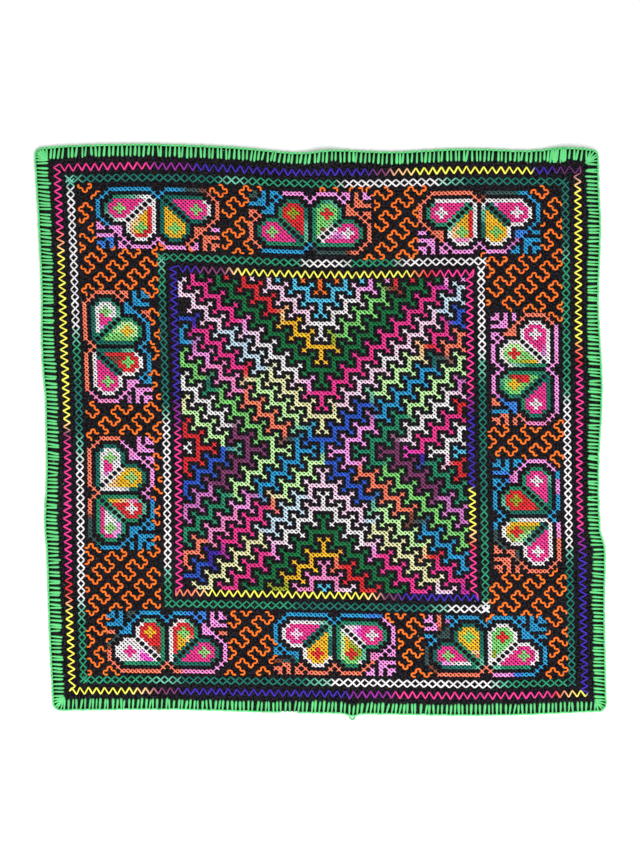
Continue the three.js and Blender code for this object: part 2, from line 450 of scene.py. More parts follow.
over_arm = {
    "along": [0, 0.2, 0.5, 0.8, 1],
    "rise": [0.3, 1.2, 1.8, 1.2, 0.3],
    "spread": [0.7, 1.0, 1.05, 1.0, 0.7],
    "light": 1.1,
}
back_bar = {"along": [0, 0.5, 1], "rise": [-0.4, 0.6, -0.4], "spread": [0.7, 1.0, 0.7]}
back_thread = {"thickness": 0.35, "level": ground["underside"], "facing": -1, "sides": 4}
hand_work = np.random.default_rng(11)


def linear(colour):
    """A colour of 0 to 255 a channel, as light."""
    channel = np.asarray(colour, dtype=float) / 255
    return np.where(channel <= 0.04045, channel / 12.92, ((channel + 0.055) / 1.055) ** 2.4)


def run_of(letters, places):
    """The colours of a space-dyed thread at places counted in letters of its run. The dyes run together."""
    stops = np.array([linear(dyes[letter]) for letter in letters])
    at = np.clip(places, 0, len(letters) - 1)
    return np.stack([np.interp(at, np.arange(len(letters)), stops[:, c]) for c in range(3)], axis=-1)


def stretched_run(letters, count):
    """A run of colour over a number of stitches."""
    return run_of(letters, (np.arange(count) + 0.5) / count * len(letters) - 0.5)


def uneven(x, y, most):
    """A hand's small error at a needle hole, the same for every stitch that uses the hole."""
    seed = np.round(x, 2) * 12.9898 + np.round(y, 2) * 78.233
    right = np.sin(seed) * 43758.5453
    up = np.sin(seed + 2.4) * 24634.6345
    return most * (2 * (right - np.floor(right)) - 1), most * (2 * (up - np.floor(up)) - 1)


def stitches(starts, ends, colours, arm, width=thread["width"], thickness=thread["thickness"],
             level=ground_face, facing=1, wander=thread["wander"], sides=6):
    """Straight stitches from hole to hole. starts and ends are places on the even square, and colours
    has one colour a stitch, or its colours at both ends. facing is -1 on the underside of the cloth."""
    starts = np.asarray(starts, dtype=float)
    ends = np.asarray(ends, dtype=float)
    along = np.array(arm["along"])[None, :, None]
    holes = []
    for hole in (starts, ends):
        right, up = uneven(hole[:, 0], hole[:, 1], wander)
        holes.append(hole + np.stack([right, up], axis=-1))
    line = holes[0][:, None, :] * (1 - along) + holes[1][:, None, :] * along
    height = level + facing * thickness * (np.array(arm["rise"]) - 0.5)
    colours = np.asarray(colours, dtype=float)
    if colours.ndim == 2:
        colours = np.stack([colours, colours], axis=1)
    fullness = hand_work.normal(1, uneven_thread["fullness"], len(starts))[:, None]
    tone = hand_work.normal(uneven_thread["tone"], uneven_thread["tone_by"], len(starts))[:, None, None]
    dye = (colours[:, :1] * (1 - along) + colours[:, 1:] * along) * tone
    return {
        "line": worked(line[..., 0], line[..., 1], height[None, :]),
        "half_width": 0.5 * width * mm * np.array(arm["spread"])[None, :] * fullness,
        "half_height": np.full(line.shape[:2], 0.5 * thickness * mm),
        "dye": np.clip(dye, 0, 1),
        "sides": sides,
    }


def tubes(batch):
    """The points and faces of many closed, flattened tubes, with how far round and along each corner is."""
    line = batch["line"]
    sides = batch["sides"]
    count, stations = line.shape[:2]
    ahead = np.gradient(line, axis=1)
    ahead /= np.linalg.norm(ahead, axis=-1, keepdims=True)
    aside = np.stack([-ahead[..., 1], ahead[..., 0], np.zeros((count, stations))], axis=-1)
    aside /= np.linalg.norm(aside, axis=-1, keepdims=True)
    upwards = np.cross(ahead, aside)
    angle = np.arange(sides) * 2 * math.pi / sides
    ring = (line[:, :, None]
            + aside[:, :, None] * (batch["half_width"][:, :, None] * np.cos(angle))[..., None]
            + upwards[:, :, None] * (batch["half_height"][:, :, None] * np.sin(angle))[..., None])
    index = np.arange(count * stations * sides).reshape(count, stations, sides)
    beside = np.roll(index, -1, axis=2)
    walls = np.stack([index[:, :-1], beside[:, :-1], beside[:, 1:], index[:, 1:]], axis=-1)
    halves = [[0, 1, 2, 3], [3, 4, 5, 0]] if sides == 6 else [[0, 1, 2, 3]]
    starts = index[:, 0][:, [half[::-1] for half in halves]]
    ends = index[:, -1][:, halves]
    step = np.linalg.norm(np.diff(line, axis=1), axis=-1) / mm
    length = np.concatenate([np.zeros((count, 1)), np.cumsum(step, axis=1)], axis=1)
    near = np.repeat(length[:, :-1, None], sides, axis=2)
    far = np.repeat(length[:, 1:, None], sides, axis=2)
    left = np.broadcast_to(np.arange(sides) / sides, near.shape)
    right = left + 1 / sides
    around = np.stack([np.stack([near, near, far, far], axis=-1),
                       np.stack([left, right, right, left], axis=-1)], axis=-1)
    caps = len(halves) * 2 * count
    return (ring.reshape(-1, 3),
            np.concatenate([walls.reshape(-1, 4), starts.reshape(-1, 4), ends.reshape(-1, 4)]),
            np.concatenate([around.reshape(-1, 2), np.zeros((caps * 4, 2))]),
            np.repeat(batch["dye"].reshape(-1, 3), sides, axis=0))


def thread_piece(name, batches):
    """One piece of many threads, with the dye of its points and a map along and round the threads."""
    points, faces, around, dye = [], [], [], []
    first = 0
    for batch in batches:
        made = tubes(batch)
        points.append(made[0])
        faces.append(made[1] + first)
        around.append(made[2])
        dye.append(made[3])
        first += len(made[0])
    piece = quad_piece(name, np.concatenate(points), np.concatenate(faces))
    twist = piece.data.uv_layers.new(name="twist")
    twist.data.foreach_set("uv", np.concatenate(around).ravel())
    colours = piece.data.color_attributes.new(name="dye", type="FLOAT_COLOR", domain="POINT")
    dye = np.concatenate(dye)
    colours.data.foreach_set("color", np.column_stack([dye, np.ones(len(dye))]).ravel())
    map_from_above(piece)
    return piece


def cross_stitches(centres, colours, size):
    """Cross stitches, their under arms all slanting one way and their over arms the other."""
    rising = np.array([size["x"], size["y"]]) / 2
    falling = rising * [1, -1]
    return [
        # The under arms get painted shade and the over arms a painted highlight, by their light factors.
        stitches(centres - rising, centres + rising, colours * under_arm["light"], under_arm, sides=4),
        stitches(centres + falling, centres - falling, colours * over_arm["light"], over_arm),
    ]


def back_stitches(centres, colours, size):
    """What a cross leaves on the underside: a short upright bar between two of its holes."""
    half = np.array([size["x"], size["y"]]) / 2
    return stitches(centres - half, centres + half * [-1, 1], colours, back_bar, **back_thread)


def embroidery_cotton(name, fibre_scale):
    """Twisted, space-dyed cotton: two plies that wind round each other, fine fibres and a soft lustre.
    Painted shade makes the dye darker and deeper between the plies and on the thread's flanks,
    and painted highlights lighten streaks along its fibres."""
    ply_length = 2.6
    material, shade = new_material(name)
    dye = shade.node("ShaderNodeAttribute", {"attribute_name": "dye"}, {}, "Color")
    around = shade.node("ShaderNodeUVMap", {"uv_map": "twist"}, {}, "UV")
    along = shade.node("ShaderNodeSeparateXYZ", {}, {0: around}, 0)
    turn = shade.node("ShaderNodeSeparateXYZ", {}, {0: around}, 1)
    plies = shade.maths("SINE", (along * (1 / ply_length) + turn * 2) * (2 * math.pi), 0.0)
    place = shade.node("ShaderNodeTexCoord", {}, {}, "Object")
    fibres = shade.node("ShaderNodeTexNoise", {}, {"Vector": place, "Scale": fibre_scale, "Detail": 3.0})
    # Painted shade in the grooves between the plies.
    painted_ply_shade = shade.node("ShaderNodeMapRange", {}, {
        "Value": plies, "From Min": -1.0, "From Max": -0.2, "To Min": 0.4, "To Max": 0.0})
    # Painted shade on the thread's flanks: none on its top, most at its sides.
    top = shade.maths("SINE", turn * (2 * math.pi), 0.0)
    painted_flank_shade = shade.node("ShaderNodeMapRange", {}, {
        "Value": top, "From Min": 0.1, "From Max": 0.9, "To Min": 0.9, "To Max": 0.0})
    # Painted highlights: streaks along the fibres, lighter and paler than the dye.
    painted_fibre_highlights = shade.node("ShaderNodeMapRange", {}, {
        "Value": fibres, "From Min": 0.4, "From Max": 0.7, "To Min": 0.0, "To Max": 0.3})
    # The darker, deeper copy of the dye that the painted shade mixes in.
    depth = shade.node("ShaderNodeVectorMath", {"operation": "MULTIPLY_ADD"}, {
        0: dye, 1: (0.5, 0.5, 0.5), 2: (0.35, 0.35, 0.35)})
    painted_shade_colour = shade.node("ShaderNodeVectorMath", {"operation": "MULTIPLY"}, {0: dye, 1: depth})
    painted_highlight_colour = shade.node("ShaderNodeVectorMath", {"operation": "MULTIPLY_ADD"}, {
        0: dye, 1: (1.0, 1.0, 1.0), 2: (0.05, 0.05, 0.05)})
    colour = mixed(shade, painted_fibre_highlights, mixed(shade, shade.maths("MAXIMUM", painted_ply_shade, painted_flank_shade), dye, painted_shade_colour), painted_highlight_colour)
    surfaced(shade, colour, roughness=0.6, height=plies * 0.7 + fibres, relief=0.08 * mm, lustre=0.15)
    return material


cotton_thread = embroidery_cotton("embroidery_cotton", 1800.0)


def embroidery(name, batches):
    """A piece of the cloth's embroidery, sewn in the space-dyed cotton."""
    dress(thread_piece(name, batches), cotton_thread)


def on_motif(motif, columns, rows):
    """Where the chart's columns, counted from the axis, and rows, counted from the bar, lie."""
    columns = np.asarray(columns, dtype=float)
    depth = (chart_rows - 1) / 2 - np.asarray(rows, dtype=float)
    if motif["bar"] in ("up", "down"):
        way = 1 if motif["bar"] == "up" else -1
        return motif["x"] + columns * cell["x"], motif["y"] + way * depth * cell["y"]
    way = 1 if motif["bar"] == "right" else -1
    return motif["x"] + way * depth * cell["x"], motif["y"] - columns * cell["y"]


wing_middle = {"column": 6.0, "row": 7.0}
before_bar = 1.1 * math.pi
leaf_foot = 8


def swept(place):
    """How far round the wing's middle a cell of its frame or its bar lies."""
    angle = math.atan2(place[1] - wing_middle["row"], place[0] - wing_middle["column"])
    return (angle + before_bar) % (2 * math.pi)


# The frame and the bar were worked round the wing, the leaves' outlines along themselves, and the
# leaves' fillings in rows or columns.
worked_by = {
    "f": swept,
    "t": swept,
    "x": lambda place: place[1],
    "e": lambda place: (place[1], place[0]) if place[1] < leaf_foot else (leaf_foot, -place[0]),
    "o": lambda place: (-place[0], place[1]),
    "g": lambda place: place[0],
}
worked_in_lanes = {"A": 1, "B": 0, "k": 0}


def part_cells(letter):
    """The cells of one part of a wing, in the order in which its thread was worked."""
    cells = [(column, row) for row in range(chart_rows) for column in range(chart_columns)
             if wing_chart[row][column] == letter]
    return sorted(cells, key=worked_by[letter]) if letter in worked_by else cells


def wing_stitches(motif, wing, side):
    """The crosses of one wing: their places and colours. A stroke in a run parts its rows or columns."""
    runs = dict(part.split("=") for part in motif[wing].split())
    places = []
    colours = []
    for letter, run in runs.items():
        cells = part_cells(letter)
        if letter in worked_in_lanes:
            lane = worked_in_lanes[letter]
            lanes = sorted({place[lane] for place in cells})
            lane_runs = run.split("/")
            for number, value in enumerate(lanes):
                in_lane = [place for place in cells if place[lane] == value]
                letters = lane_runs[min(number, len(lane_runs) - 1)]
                places += in_lane
                colours.append(stretched_run(letters, len(in_lane)))
        else:
            places += cells
            colours.append(stretched_run(run, len(cells)))
    places = np.array(places, dtype=float)
    x, y = on_motif(motif, side * places[:, 0], places[:, 1])
    off_axis = (places[:, 0] > 0) | (side < 0)
    return np.stack([x, y], axis=-1)[off_axis], np.concatenate(colours)[off_axis]


motif_backs = []
for motif in motifs:
    wings = [wing_stitches(motif, "first", -1), wing_stitches(motif, "second", 1)]
    centres = np.concatenate([wing[0] for wing in wings])
    colours = np.concatenate([wing[1] for wing in wings])
    embroidery("leaf_motif_" + motif["name"], cross_stitches(centres, colours, cell))
    motif_backs.append(back_stitches(centres, colours, cell))
embroidery("leaf_motif_backs", motif_backs)

# The meander fills the band round the leaf motifs. It is orange cotton in back stitch, one counted
# square a stitch, and each line of it goes up to the right in lobes and steps. Each gap between
# two motifs was started afresh, and the lines stop short where they meet a motif or the chains.
meander_cell = {"x": 2.94, "y": 2.74}
meander_moves = "RDRDRURULULURU"
move_steps = {"R": (1, 0), "L": (-1, 0), "U": (0, 1), "D": (0, -1)}
next_lobe = (3, 3)
next_line = (5, -2)
meander_band = {
    "outer": {"left": -169.3, "right": 169.0, "bottom": -172.6, "top": 172.1},
    "inner": {"left": -113.3, "right": 115.3, "bottom": -124.4, "top": 121.9},
}
meander_gaps = [
    {"left": -200.0, "right": -112.5, "bottom": 56.2, "top": 200.0, "lobe": (-128.3, 132.2)},
    {"left": -112.5, "right": -6.6, "bottom": 100.0, "top": 200.0, "lobe": (-55.7, 149.0)},
    {"left": -6.6, "right": 111.3, "bottom": 100.0, "top": 200.0, "lobe": (50.5, 141.6)},
    {"left": 111.3, "right": 200.0, "bottom": 44.1, "top": 200.0, "lobe": (142.0, 124.9)},
    {"left": -200.0, "right": -100.0, "bottom": -45.5, "top": 56.2, "lobe": (-140.0, 1.2)},
    {"left": -200.0, "right": -111.8, "bottom": -200.0, "top": -45.5, "lobe": (-119.1, -133.1)},
    {"left": -111.8, "right": 6.5, "bottom": -200.0, "top": -100.0, "lobe": (-51.0, -151.4)},
    {"left": 6.5, "right": 112.0, "bottom": -200.0, "top": -100.0, "lobe": (72.0, -156.5)},
    {"left": 100.0, "right": 200.0, "bottom": -57.3, "top": 44.1, "lobe": (147.9, -7.7)},
    {"left": 112.0, "right": 200.0, "bottom": -200.0, "top": -57.3, "lobe": (145.0, -136.7)},
]
meander_repeats = 40
meander_spare = 0.1
motif_spare = 0.05
bar_strip = {"half_width": 11, "rows": 4}
bare_foot = {"motifs": ["right_upper", "right_lower", "bottom_middle"], "from": -2.5, "to": 4}
meander_thread = {"width": 1.4, "thickness": 0.6, "wander": 0.2}
short_stitch = {"along": [0, 0.25, 0.75, 1], "rise": [0.0, 1.0, 1.0, 0.0], "spread": [0.4, 1.0, 1.05, 0.45]}


def filled_between(cells, axis):
    """The cells of a chart that are worked, or lie between worked ones along an axis."""
    ahead = np.maximum.accumulate(cells, axis=axis)
    behind = np.flip(np.maximum.accumulate(np.flip(cells, axis=axis), axis=axis), axis=axis)
    return ahead & behind


def inside(box, x, y):
    return (x > box["left"]) & (x < box["right"]) & (y > box["bottom"]) & (y < box["top"])


def motif_extents():
    """Which cells of the full chart lie within a motif. Its open middle parts are among them, and so is
    a strip outside its bars, where the chain leaves no room for a line."""
    worked_cells = np.array([[letter != "." for letter in row] for row in wing_chart])
    full = np.concatenate([worked_cells[:, :0:-1], worked_cells], axis=1)
    strip = np.abs(np.arange(full.shape[1]) - chart_columns + 1) <= bar_strip["half_width"]
    return np.concatenate([
        np.tile(strip, (bar_strip["rows"], 1)),
        filled_between(full, 0) & filled_between(full, 1),
    ])


filled_cells = motif_extents()


def clear_of_motifs(x, y, margin):
    """Whether places lie outside every motif, with a margin in cells."""
    clear = np.ones(x.shape, dtype=bool)
    for motif in motifs:
        way = 1 if motif["bar"] in ("up", "right") else -1
        across = (x - motif["x"]) / cell["x"]
        down = (y - motif["y"]) / cell["y"]
        upright = motif["bar"] in ("up", "down")
        column = across if upright else -down
        row = (chart_rows - 1) / 2 - way * (down if upright else across) + bar_strip["rows"]
        for shift_column in (-margin, margin):
            for shift_row in (-margin, margin):
                c = np.round(column + shift_column).astype(int) + chart_columns - 1
                r = np.round(row + shift_row).astype(int)
                on_chart = (c >= 0) & (c < filled_cells.shape[1]) & (r >= 0) & (r < filled_cells.shape[0])
                c = np.clip(c, 0, filled_cells.shape[1] - 1)
                r = np.clip(r, 0, filled_cells.shape[0] - 1)
                clear &= ~(on_chart & filled_cells[r, c])
        if motif["name"] in bare_foot["motifs"]:
            foot = row - filled_cells.shape[0]
            at_foot = (foot > bare_foot["from"]) & (foot < bare_foot["to"])
            clear &= ~((np.abs(column) <= chart_columns) & at_foot)
    return clear


def grown(box, by):
    return {side: value + by * (1 if side in ("right", "top") else -1) for side, value in box.items()}


def room_for_line(x, y, gap, spare):
    """Whether holes lie in the band, clear of chains and motifs, with this much to spare in cells."""
    outer = grown(meander_band["outer"], -spare * meander_cell["x"])
    inner = grown(meander_band["inner"], spare * meander_cell["x"])
    in_band = inside(gap, x, y) & inside(outer, x, y) & ~inside(inner, x, y)
    return in_band & clear_of_motifs(x, y, spare + motif_spare)


def meander_lines():
    """The meander's stitches: the holes where each starts and ends."""
    lobe = [(0, 0)]
    for move in meander_moves:
        lobe.append((lobe[-1][0] + move_steps[move][0], lobe[-1][1] + move_steps[move][1]))
    lobe = np.array(lobe[:-1], dtype=float)
    reach = np.arange(-meander_repeats, meander_repeats + 1)
    along = (reach[:, None, None] * np.array(next_lobe) + lobe[None]).reshape(-1, 2)
    scale = np.array([meander_cell["x"], meander_cell["y"]])
    starts = []
    ends = []
    for gap in meander_gaps:
        for line in reach:
            holes = np.array(gap["lobe"]) + (along + line * np.array(next_line)) * scale
            x, y = holes[:, 0], holes[:, 1]
            clear = room_for_line(x, y, gap, 0.0)
            free = room_for_line(x, y, gap, meander_spare)
            worked_out = clear[:-1] & clear[1:] & (free[:-1] | free[1:])
            beside = np.concatenate([[False], worked_out, [False]])
            kept = worked_out & (beside[:-2] | beside[2:])
            starts.append(holes[:-1][kept])
            ends.append(holes[1:][kept])
    return np.concatenate(starts), np.concatenate(ends)


meander_starts, meander_ends = meander_lines()
orange = np.tile(linear(dyes["N"]), (len(meander_starts), 1))
embroidery("orange_meander", [
    stitches(meander_starts, meander_ends, orange, short_stitch, **meander_thread),
])
embroidery("orange_meander_backs", [
    stitches(meander_starts, meander_ends, orange, back_bar, **back_thread),
])

# The fret fills the middle, in cross stitch. Its lines climb in steps of three crosses away from two axes,
# as Vs with a stem towards the middle and a one-cross ear at each corner. A run gives a line's colours
# from its axis outwards, one letter for each step, with a full stop where the line ends early.
fret_cell = {"x": 2.95, "y": 2.71}
fret_reach = {"left": 33, "right": 34, "up": 44, "down": 36}
fret_columns = {"count": [-33, 0, 34], "at": [-97.9, -0.2, 99.7]}
fret_rows = {"count": [-36, 0, 44], "at": [-110.3, -13.4, 106.8]}
fret_drawn_in = {"most": 0.008, "rows": 13.0}
step_cells = 3
step_blend = 0.6
upright_lines = {
    "up": [
        {"stem": "UB", "left": "UBALLLLLLLyRPPPPPPPVU.", "right": "UUUUUUUALLLLLLycRPPPUU"},
        {"stem": "y", "left": "yyyyyyyybbbbbbbwwwwwww", "right": "yywwwwwwwWWwwwwwwwbbbb"},
        {"stem": "P", "left": "PKwWWWWWWwwKPPPPPPPP", "right": "PPPPPPPPPPPPPPPPPPMK"},
        {"stem": "F", "left": "F", "right": "F"},
        {"stem": "g", "left": "gggggcRRRRRR", "right": "gOGGGGGGGGnR"},
        {"stem": "W", "left": "Wwwwwww", "right": "WWWWWwK"},
        {"stem": "Q", "left": "Q", "right": "Q"},
        {"stem": "N", "left": "N", "right": "N"},
    ],
    "down": [
        {"stem": "LA", "left": "LLLLLLyCPPPPPPPMVVUUU.", "right": "UUUUUUUALLLLLLLcRPPPPM"},
        {"stem": "w", "left": "wwbbbbbbbyyyyyyyyy", "right": "wwwwwwbyyyyyyyyyyw"},
        {"stem": "W", "left": "wWWWWWwKPPPPPP", "right": "WWWWWWwKPPPPPP"},
        {"stem": "F", "left": "F", "right": "F"},
        {"stem": "g", "left": "gggggOO", "right": "gCRRRRR"},
        {"stem": "k", "left": "kkk", "right": "kkw"},
        {"stem": "Q", "left": "Q", "right": "Q"},
    ],
}
level_lines = {
    "left": [
        {"stem": "B", "up": "BSCCCCCCCkkkkkKKvBB", "down": "BBBBBBBvKKkkkkkCCCC"},
        {"stem": "L", "up": "LGGGGGGGGETGGGG", "down": "LLLLLLLEEEEEEEE"},
        {"stem": "D", "up": "DDDWWWWWWWW", "down": "DDDDDDvvvvv"},
        {"stem": "UA", "up": "LLLLLLy", "down": "UUUUUUU"},
        {"stem": "R", "up": "R", "down": "R"},
        {"stem": "W", "up": "W", "down": "W"},
    ],
    "right": [
        {"stem": "K", "up": "KKKKvBBBBBBBBBTSCCC", "down": "KKCCCCCCCCnSBBBBBBB"},
        {"stem": "E", "up": "EEEEEELLLLLLLLL", "down": "EEGGGGGGGGGGGGG"},
        {"stem": "D", "up": "DwWWWWWWWwv", "down": "DDDDDDDvvvv"},
        {"stem": "Pm", "up": "PPPPPPR", "down": "VEEEEEE"},
        {"stem": "W", "up": "WWW", "down": "wRR"},
        {"stem": "Q", "up": "Q", "down": "Q"},
    ],
}


def fret_cells():
    """Every cross of the fret, as a column and a row from the centre, with its colour."""
    found = {}

    def place(column, row, colour):
        within = -fret_reach["left"] <= column <= fret_reach["right"]
        if within and -fret_reach["down"] <= row <= fret_reach["up"]:
            found.setdefault((column, row), colour)

    def climb(run, out, rise, signs, level_first):
        """One arm from its axis outwards: out and rise are where it leaves the axis."""
        longest = 2 * max(fret_reach.values()) // step_cells
        if run.endswith("."):
            run = run[:-1]
            longest = len(run)
        for step in range(longest):
            level = (step % 2 == 0) == level_first
            for k in range(1, step_cells + 1):
                colour = run_of(run, np.array([step + (k - 2) / step_cells * step_blend]))[0]
                column = out + (k if level else 0)
                row = rise + (0 if level else k)
                place(signs[0] * column, signs[1] * row, colour)
            if level:
                out += step_cells
            else:
                rise += step_cells
            odd = (rise // step_cells - out // step_cells) % 2 == 1
            ear = (out - 1, rise + 1) if odd else (out + 1, rise - 1)
            if min(ear) >= 0:
                place(signs[0] * ear[0], signs[1] * ear[1], colour)

    def stem(run, bar, direction):
        """The bar's middle, the stem from it towards the centre and the two ears at the stem's end."""
        for k in range(step_cells + 1):
            colour = run_of(run, np.array([k / step_cells * (len(run) - 1)]))[0]
            place(direction[0] * (bar - k), direction[1] * (bar - k), colour)
        end = bar - step_cells
        if end > 0:
            for side in (-1, 1):
                place(direction[0] * (end - 1) + direction[1] * side,
                      direction[1] * (end - 1) + direction[0] * side, colour)

    for side, up in (("up", 1), ("down", -1)):
        for number, line in enumerate(upright_lines[side]):
            bar = step_cells * (2 * number + 1)
            stem(line["stem"], bar, (0, up))
            climb(line["left"], 0, bar, (-1, up), True)
            climb(line["right"], 0, bar, (1, up), True)
    for side, right in (("left", -1), ("right", 1)):
        for number, line in enumerate(level_lines[side]):
            bar = step_cells * 2 * (number + 1)
            stem(line["stem"], bar, (right, 0))
            climb(line["up"], bar, 0, (right, 1), False)
            climb(line["down"], bar, 0, (right, -1), False)
    return found


fret = fret_cells()
fret_grid = np.array(list(fret.keys()), dtype=float)
fret_colours = np.array(list(fret.values()))
fret_waist = 1 - fret_drawn_in["most"] * np.exp(-(fret_grid[:, 1] / fret_drawn_in["rows"]) ** 2)
fret_places = np.stack([
    np.interp(fret_grid[:, 0], fret_columns["count"], fret_columns["at"]) * fret_waist,
    np.interp(fret_grid[:, 1], fret_rows["count"], fret_rows["at"]),
], axis=-1)
fret_parts = {
    "upper_left": (fret_grid[:, 0] < 0) & (fret_grid[:, 1] >= 0),
    "upper_right": (fret_grid[:, 0] >= 0) & (fret_grid[:, 1] >= 0),
    "lower_left": (fret_grid[:, 0] < 0) & (fret_grid[:, 1] < 0),
    "lower_right": (fret_grid[:, 0] >= 0) & (fret_grid[:, 1] < 0),
}
for part, chosen in fret_parts.items():
    embroidery("fret_" + part, cross_stitches(fret_places[chosen], fret_colours[chosen], fret_cell))
embroidery("fret_backs", [back_stitches(fret_places, fret_colours, fret_cell)])

# Four borders frame the meander and the fret: inside and outside of it runs a chain of large crosses,
# and beside each chain a zigzag. All are space-dyed cotton, in stitches of one counted size that the
# hand let out or drew in here and there. A run gives each dye's letter and the millimetres it lasts.
borders = {
    "outer_zigzag": {
        "top": {"level": 182.3, "at": [-177.9, -137.9, -103.2, -73.6, -19.0, 2.2, 31.5, 102.7, 174.3, 182.0],
                "steps": [0, 14, 26, 36, 54, 62, 72, 96, 120, 122],
                "run": "P61 p28 V126 D14 c14 Y82 Y1 V1 V15 d19"},
        "right": {"level": 180.1, "at": [180.5, 37.3, -67.8, -172.5, -182.7], "steps": [0, 52, 92, 130, 134],
                  "run": "D2 c8 Y108 C7 R10 P112 p14 V102"},
        "bottom": {"level": -183.0, "at": [-180.5, -177.5, -30.0, 180.5], "steps": [1, 2, 52, 124],
                   "run": "Y46 c11 D20 V121 p30 P111 R6 c8 Y8"},
        "left": {"level": -180.3, "at": [182.4, 75.1, -175.7, -183.0], "steps": [0, 38, 132, 134],
                 "run": "P47 C7 c5 Y121 c3 D7 P96 R15 C3 c3 Y62"},
    },
    "outer_chain": {
        "top": {"level": 174.6, "at": [-172.3, -131.7, -96.7, 38.4, 163.6, 169.5],
                "steps": [0, 7, 13, 36, 57, 58], "run": "A4 T100 A17 E67 W69 A15 T80"},
        "right": {"level": 171.5, "at": [172.1, 34.3, -65.9, -169.9, -175.0], "steps": [0, 25, 44, 63, 64],
                  "run": "T46 A3 E94 A5 W104 A6 T96"},
        "bottom": {"level": -175.0, "at": [-169.5, -34.1, 165.2], "steps": [0, 23, 57],
                   "run": "E48 A17 T94 A14 W114 A7 E52"},
        "left": {"level": -171.8, "at": [171.8, 98.5, -170.0, -174.6], "steps": [0, 13, 63, 64],
                 "run": "A3 W101 A9 E24 T41 A14 W101 A10 E49"},
    },
    "inner_chain": {
        "top": {"level": 119.3, "at": [-110.7, 113.4], "steps": [0, 38], "run": "E98 W33 E35 W60"},
        "right": {"level": 112.4, "at": [113.2, 26.2, -119.0, -122.5], "steps": [0, 16, 43, 44],
                  "run": "W61 A14 T87 E69 W9"},
        "bottom": {"level": -121.8, "at": [-110.2, -105.0, 112.2], "steps": [0, 1, 38],
                   "run": "E88 T98 A10 W30"},
        "left": {"level": -110.5, "at": [116.7, 18.5, -116.2], "steps": [0, 18, 43],
                 "run": "A5 E18 T80 A7 W105 A5 E23"},
    },
    "inner_zigzag": {
        "top": {"level": 111.3, "at": [-98.7, 107.3], "steps": [0, 70], "run": "V14 D22 c5 Y122 C7 R10 P28"},
        "right": {"level": 104.2, "at": [109.2, 20.6, -110.9], "steps": [0, 32, 82],
                  "run": "P84 p10 V53 V1 Y1 Y28 c7 R6 P36"},
        "bottom": {"level": -114.1, "at": [-104.6, -99.7, 107.4], "steps": [0, 2, 72],
                   "run": "C17 c4 Y114 c8 D14 V55"},
        "left": {"level": -102.5, "at": [111.1, -112.0], "steps": [0, 82], "run": "V94 p17 P112"},
    },
}
border_thread = {"width": 1.12, "thickness": 0.5, "wander": 0.24}
chain_reach = 2.6
zigzag_reach = 2.45
dye_blend = 4.0
long_stitch = {"along": [0, 0.12, 0.5, 0.88, 1], "rise": [0.3, 1.0, 1.1, 1.0, 0.3],
               "spread": [0.75, 1.0, 1.0, 1.0, 0.75]}
crossing_stitch = {"along": [0, 0.12, 0.5, 0.88, 1], "rise": [0.3, 1.0, 1.9, 1.0, 0.3],
                   "spread": [0.75, 1.0, 1.0, 1.0, 0.75]}


def dyed_lengths(run, distances):
    """The colours of a thread at distances along it, where each dye lasts its own length."""
    parts = run.split()
    colours = np.array([linear(dyes[part[0]]) for part in parts])
    lengths = np.array([float(part[1:]) for part in parts])
    ends = np.cumsum(lengths)
    blends = np.minimum(lengths / 2, dye_blend)
    places = np.column_stack([ends - lengths + blends, ends - blends]).ravel()
    return np.stack([np.interp(distances, places, np.repeat(colours[:, c], 2)) for c in range(3)], axis=-1)


def border_places(side, row, numbers, out):
    """Places at numbers of steps along one side, set out from its middle line, and the colours there."""
    at = np.array(row["at"])
    steps = np.array(row["steps"], dtype=float)
    before = at[0] - (at[1] - at[0]) / (steps[1] - steps[0])
    after = at[-1] + (at[-1] - at[-2]) / (steps[-1] - steps[-2])
    along = np.interp(numbers, [steps[0] - 1, *steps, steps[-1] + 1], [before, *at, after])
    across = row["level"] + np.asarray(out) * (1 if side in ("top", "right") else -1)
    across = np.broadcast_to(across, along.shape)
    places = (along, across) if side in ("top", "bottom") else (across, along)
    return np.stack(places, axis=-1), dyed_lengths(row["run"], np.abs(along - at[0]))


def chain_of_crosses(border):
    """Large crosses that meet at their holes."""
    batches = []
    for side, row in border.items():
        numbers = np.arange(row["steps"][0], row["steps"][-1] + 1, dtype=float)
        for lean, arm in ((1, long_stitch), (-1, crossing_stitch)):
            starts = border_places(side, row, numbers - 0.5, -lean * chain_reach)[0]
            ends = border_places(side, row, numbers + 0.5, lean * chain_reach)[0]
            colours = border_places(side, row, numbers, 0)[1]
            batches.append(stitches(starts, ends, colours, arm, **border_thread))
    return batches


def zigzag(border):
    """One long zigzag round all four sides. An even step is an outer point, an odd one an inner point."""
    points = []
    colours = []
    for side in ("top", "right", "bottom", "left"):
        row = border[side]
        numbers = np.arange(row["steps"][0], row["steps"][-1] + 1, dtype=float)
        swing = np.where(numbers % 2 == 0, zigzag_reach, -zigzag_reach)
        places, dye = border_places(side, row, numbers, swing)
        way = 1 if side in ("top", "right") else -1
        points.append(places[::way])
        colours.append(dye[::way])
    points = np.concatenate(points)
    colours = np.concatenate(colours)
    ends = np.roll(points, -1, axis=0)
    end_colours = np.roll(colours, -1, axis=0)
    return [stitches(points, ends, np.stack([colours, end_colours], axis=1), long_stitch, **border_thread)]


def border_backs(border, reach, step):
    """The underside of a border: short stitches along both of its edges."""
    batches = []
    for side, row in border.items():
        numbers = np.arange(row["steps"][0], row["steps"][-1], step, dtype=float)
        for out in (-reach, reach):
            starts, colours = border_places(side, row, numbers, out)
            ends = border_places(side, row, numbers + step, out)[0]
            batches.append(stitches(starts, ends, colours, back_bar, **back_thread))
    return batches


backs = []
for name, border in borders.items():
    if name.endswith("chain"):
        embroidery(name, chain_of_crosses(border))
        backs += border_backs(border, chain_reach, 1)
    else:
        embroidery(name, zigzag(border))
        backs += border_backs(border, zigzag_reach, 2)
embroidery("border_backs", backs)

